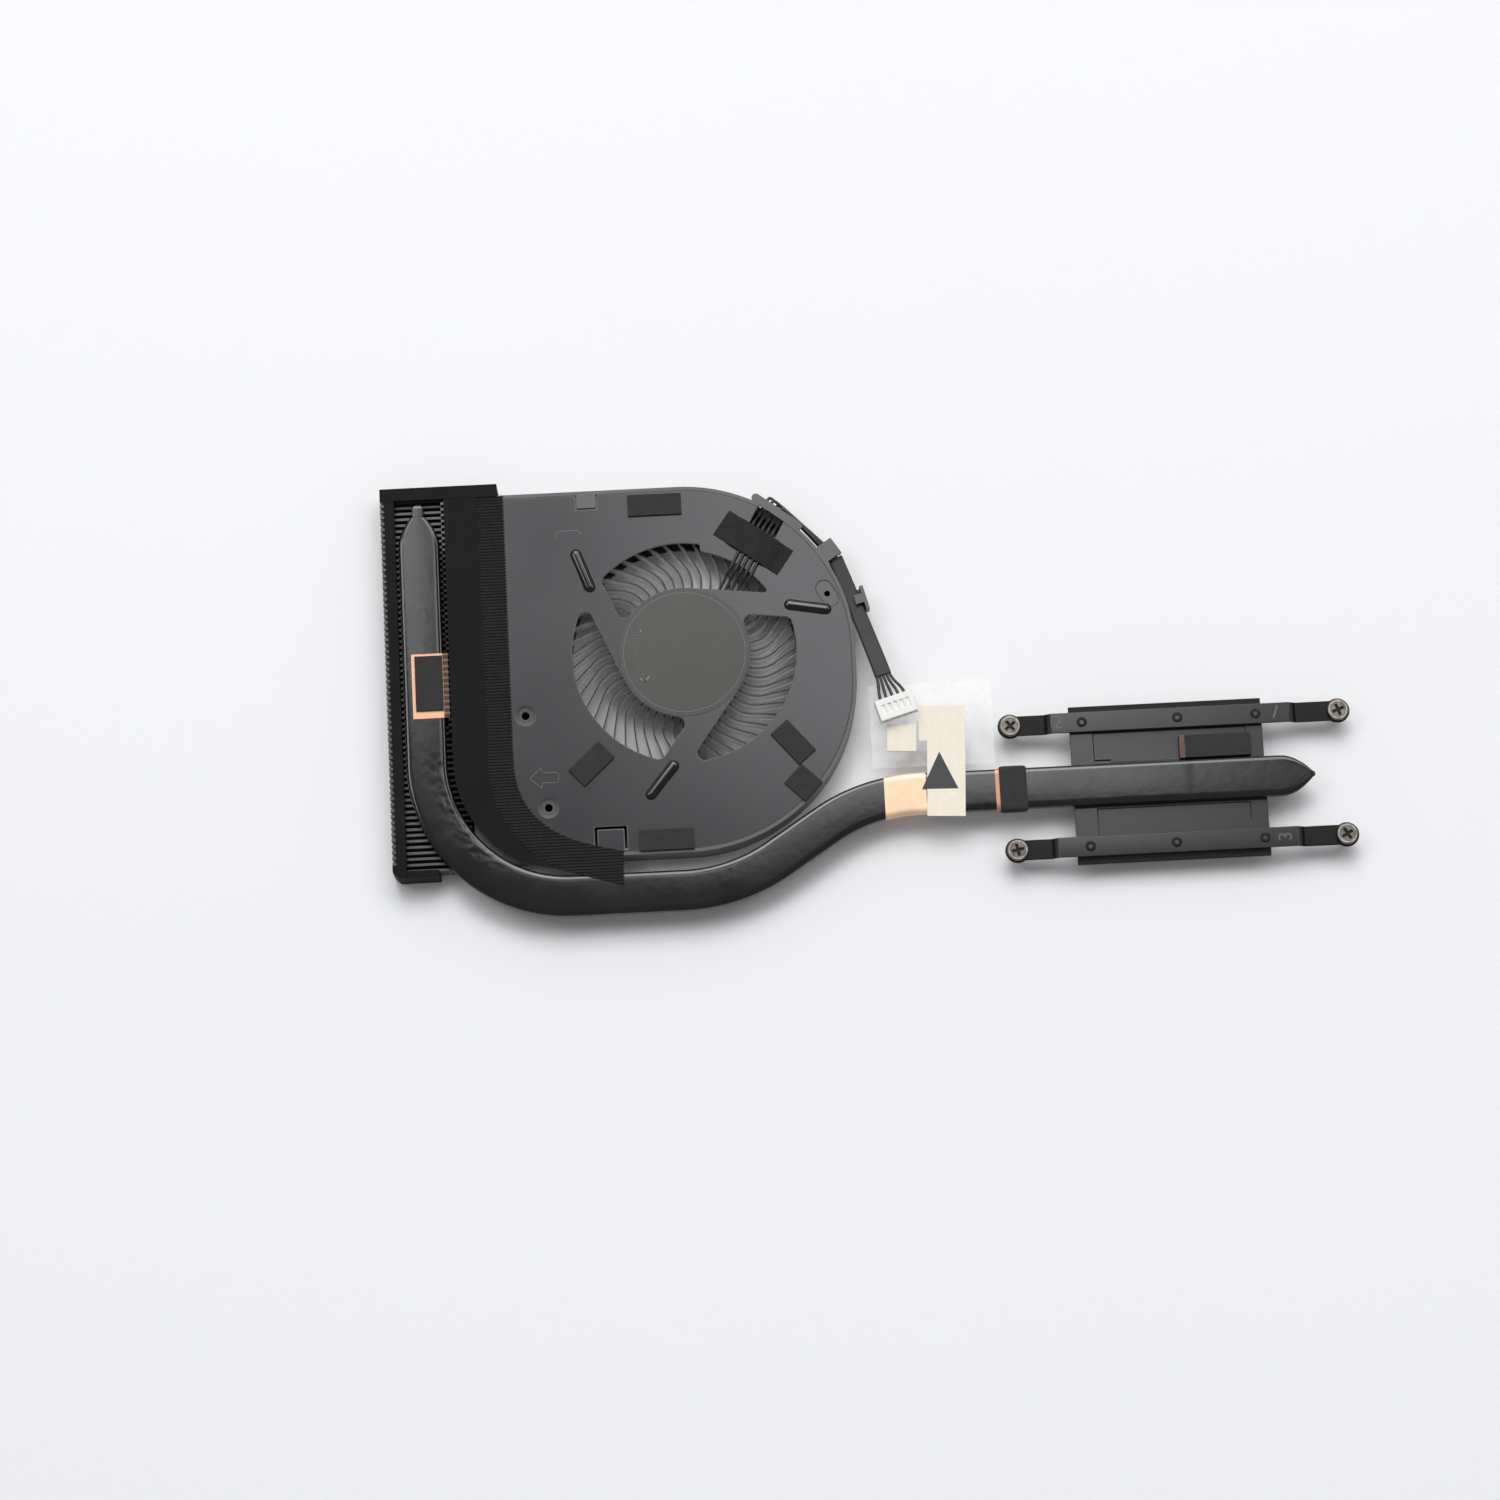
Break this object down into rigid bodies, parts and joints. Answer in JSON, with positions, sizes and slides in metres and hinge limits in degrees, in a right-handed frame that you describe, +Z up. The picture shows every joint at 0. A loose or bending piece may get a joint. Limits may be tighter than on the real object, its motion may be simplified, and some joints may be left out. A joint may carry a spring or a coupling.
{
  "type": "laptop cooling fan heatsink",
  "caption": "Flat blower fan that blows through a fin stack, with a bent flat heat pipe from a sprung, screw-down cold plate.",
  "frame": {"origin": "centre of the cold plate's contact face", "axes": "+X along the cold plate away from the fan, +Y towards the nozzle end of the fin stack, +Z up, away from the processor"},
  "size_m": [0.192, 0.0889, 0.0099],
  "materials": {
    "bare_copper": "satin",
    "black_steel": "satin",
    "foam": "matt",
    "copper_foil": "satin",
    "pipe_coating": "satin",
    "fin_metal": "satin",
    "smooth_tape": "satin",
    "cloth": "matt",
    "frame_plastic": "satin",
    "fan_plate": "satin",
    "impeller_plastic": "satin",
    "bright_steel": "satin",
    "magnet": "matt",
    "bearing_bronze": "satin",
    "core_steel": "satin",
    "coil_wire": "gloss",
    "board": "satin",
    "label_film": "satin",
    "wire_jacket": "satin",
    "sleeve": "satin",
    "white_plastic": "satin",
    "terminal": "gloss",
    "paper": "matt",
    "clear_film": "gloss",
    "screw_nickel": "satin",
    "ring_plastic": "matt"
  },
  "bodies": {
    "module": {"contact_plate": "bare_copper", "base_plate": "black_steel", "spring_arm_back": "black_steel", "spring_arm_front": "black_steel", "plate_pad": "foam", "plate_pad_edge": "copper_foil", "heat_pipe": "pipe_coating", "pipe_foil_left": "copper_foil", "pipe_pad_left": "foam", "pipe_foil_right": "copper_foil", "pipe_wrap": "foam", "pipe_wrap_foil": "copper_foil", "fin_stack": "fin_metal", "fin_strip_back": "foam", "fin_strip_front": "foam", "outlet_strip": "smooth_tape", "seal_band": "smooth_tape", "cloth_tape": "cloth", "volute_frame": "frame_plastic", "motor_plate": "fan_plate", "bottom_cover": "fan_plate", "bearing_sleeve": "bearing_bronze", "stator_core": "core_steel", "stator_coils": "coil_wire", "motor_board": "board", "hub_label": "label_film", "wire_tape": "cloth", "fan_wires": "wire_jacket", "lead_sleeve": "sleeve", "lead_tails": "wire_jacket", "connector_housing": "white_plastic", "connector_terminals": "terminal", "paper_label": "paper", "paper_tab": "paper", "clear_film": "clear_film", "fan_pad_1": "foam", "fan_pad_2": "foam", "fan_pad_3": "foam", "fan_pad_4": "foam", "fan_pad_5": "foam"},
    "rotor": {"impeller": "impeller_plastic", "rotor_yoke": "bright_steel", "magnet_ring": "magnet", "motor_shaft": "bright_steel"},
    "ring_1": {"retaining_ring_1": "ring_plastic"},
    "screw_1": {"captive_screw_1": "screw_nickel"},
    "ring_2": {"retaining_ring_2": "ring_plastic"},
    "screw_2": {"captive_screw_2": "screw_nickel"},
    "ring_3": {"retaining_ring_3": "ring_plastic"},
    "screw_3": {"captive_screw_3": "screw_nickel"},
    "ring_4": {"retaining_ring_4": "ring_plastic"},
    "screw_4": {"captive_screw_4": "screw_nickel"}
  },
  "joints": [
    {"name": "impeller_spin", "type": "hinge", "parent": "module", "child": "rotor", "pos_m": [-0.0953, 0.0307, 0], "axis": [0, 0, -1], "continuous": true},
    {"name": "screw_1_lift", "type": "slide", "parent": "module", "child": "ring_1", "axis": [0, 0, 1], "range_m": [0, 0.0012]},
    {"name": "screw_1_turn", "type": "hinge", "parent": "ring_1", "child": "screw_1", "pos_m": [-0.0311, 0.0126, 0], "axis": [0, 0, 1], "continuous": true},
    {"name": "screw_2_lift", "type": "slide", "parent": "module", "child": "ring_2", "axis": [0, 0, 1], "range_m": [0, 0.0012]},
    {"name": "screw_2_turn", "type": "hinge", "parent": "ring_2", "child": "screw_2", "pos_m": [0.0345, 0.0126, 0], "axis": [0, 0, 1], "continuous": true},
    {"name": "screw_3_lift", "type": "slide", "parent": "module", "child": "ring_3", "axis": [0, 0, 1], "range_m": [0, 0.0012]},
    {"name": "screw_3_turn", "type": "hinge", "parent": "ring_3", "child": "screw_3", "pos_m": [-0.0311, -0.0126, 0], "axis": [0, 0, 1], "continuous": true},
    {"name": "screw_4_lift", "type": "slide", "parent": "module", "child": "ring_4", "axis": [0, 0, 1], "range_m": [0, 0.0012]},
    {"name": "screw_4_turn", "type": "hinge", "parent": "ring_4", "child": "screw_4", "pos_m": [0.0345, -0.0126, 0], "axis": [0, 0, 1], "continuous": true}
  ]
}
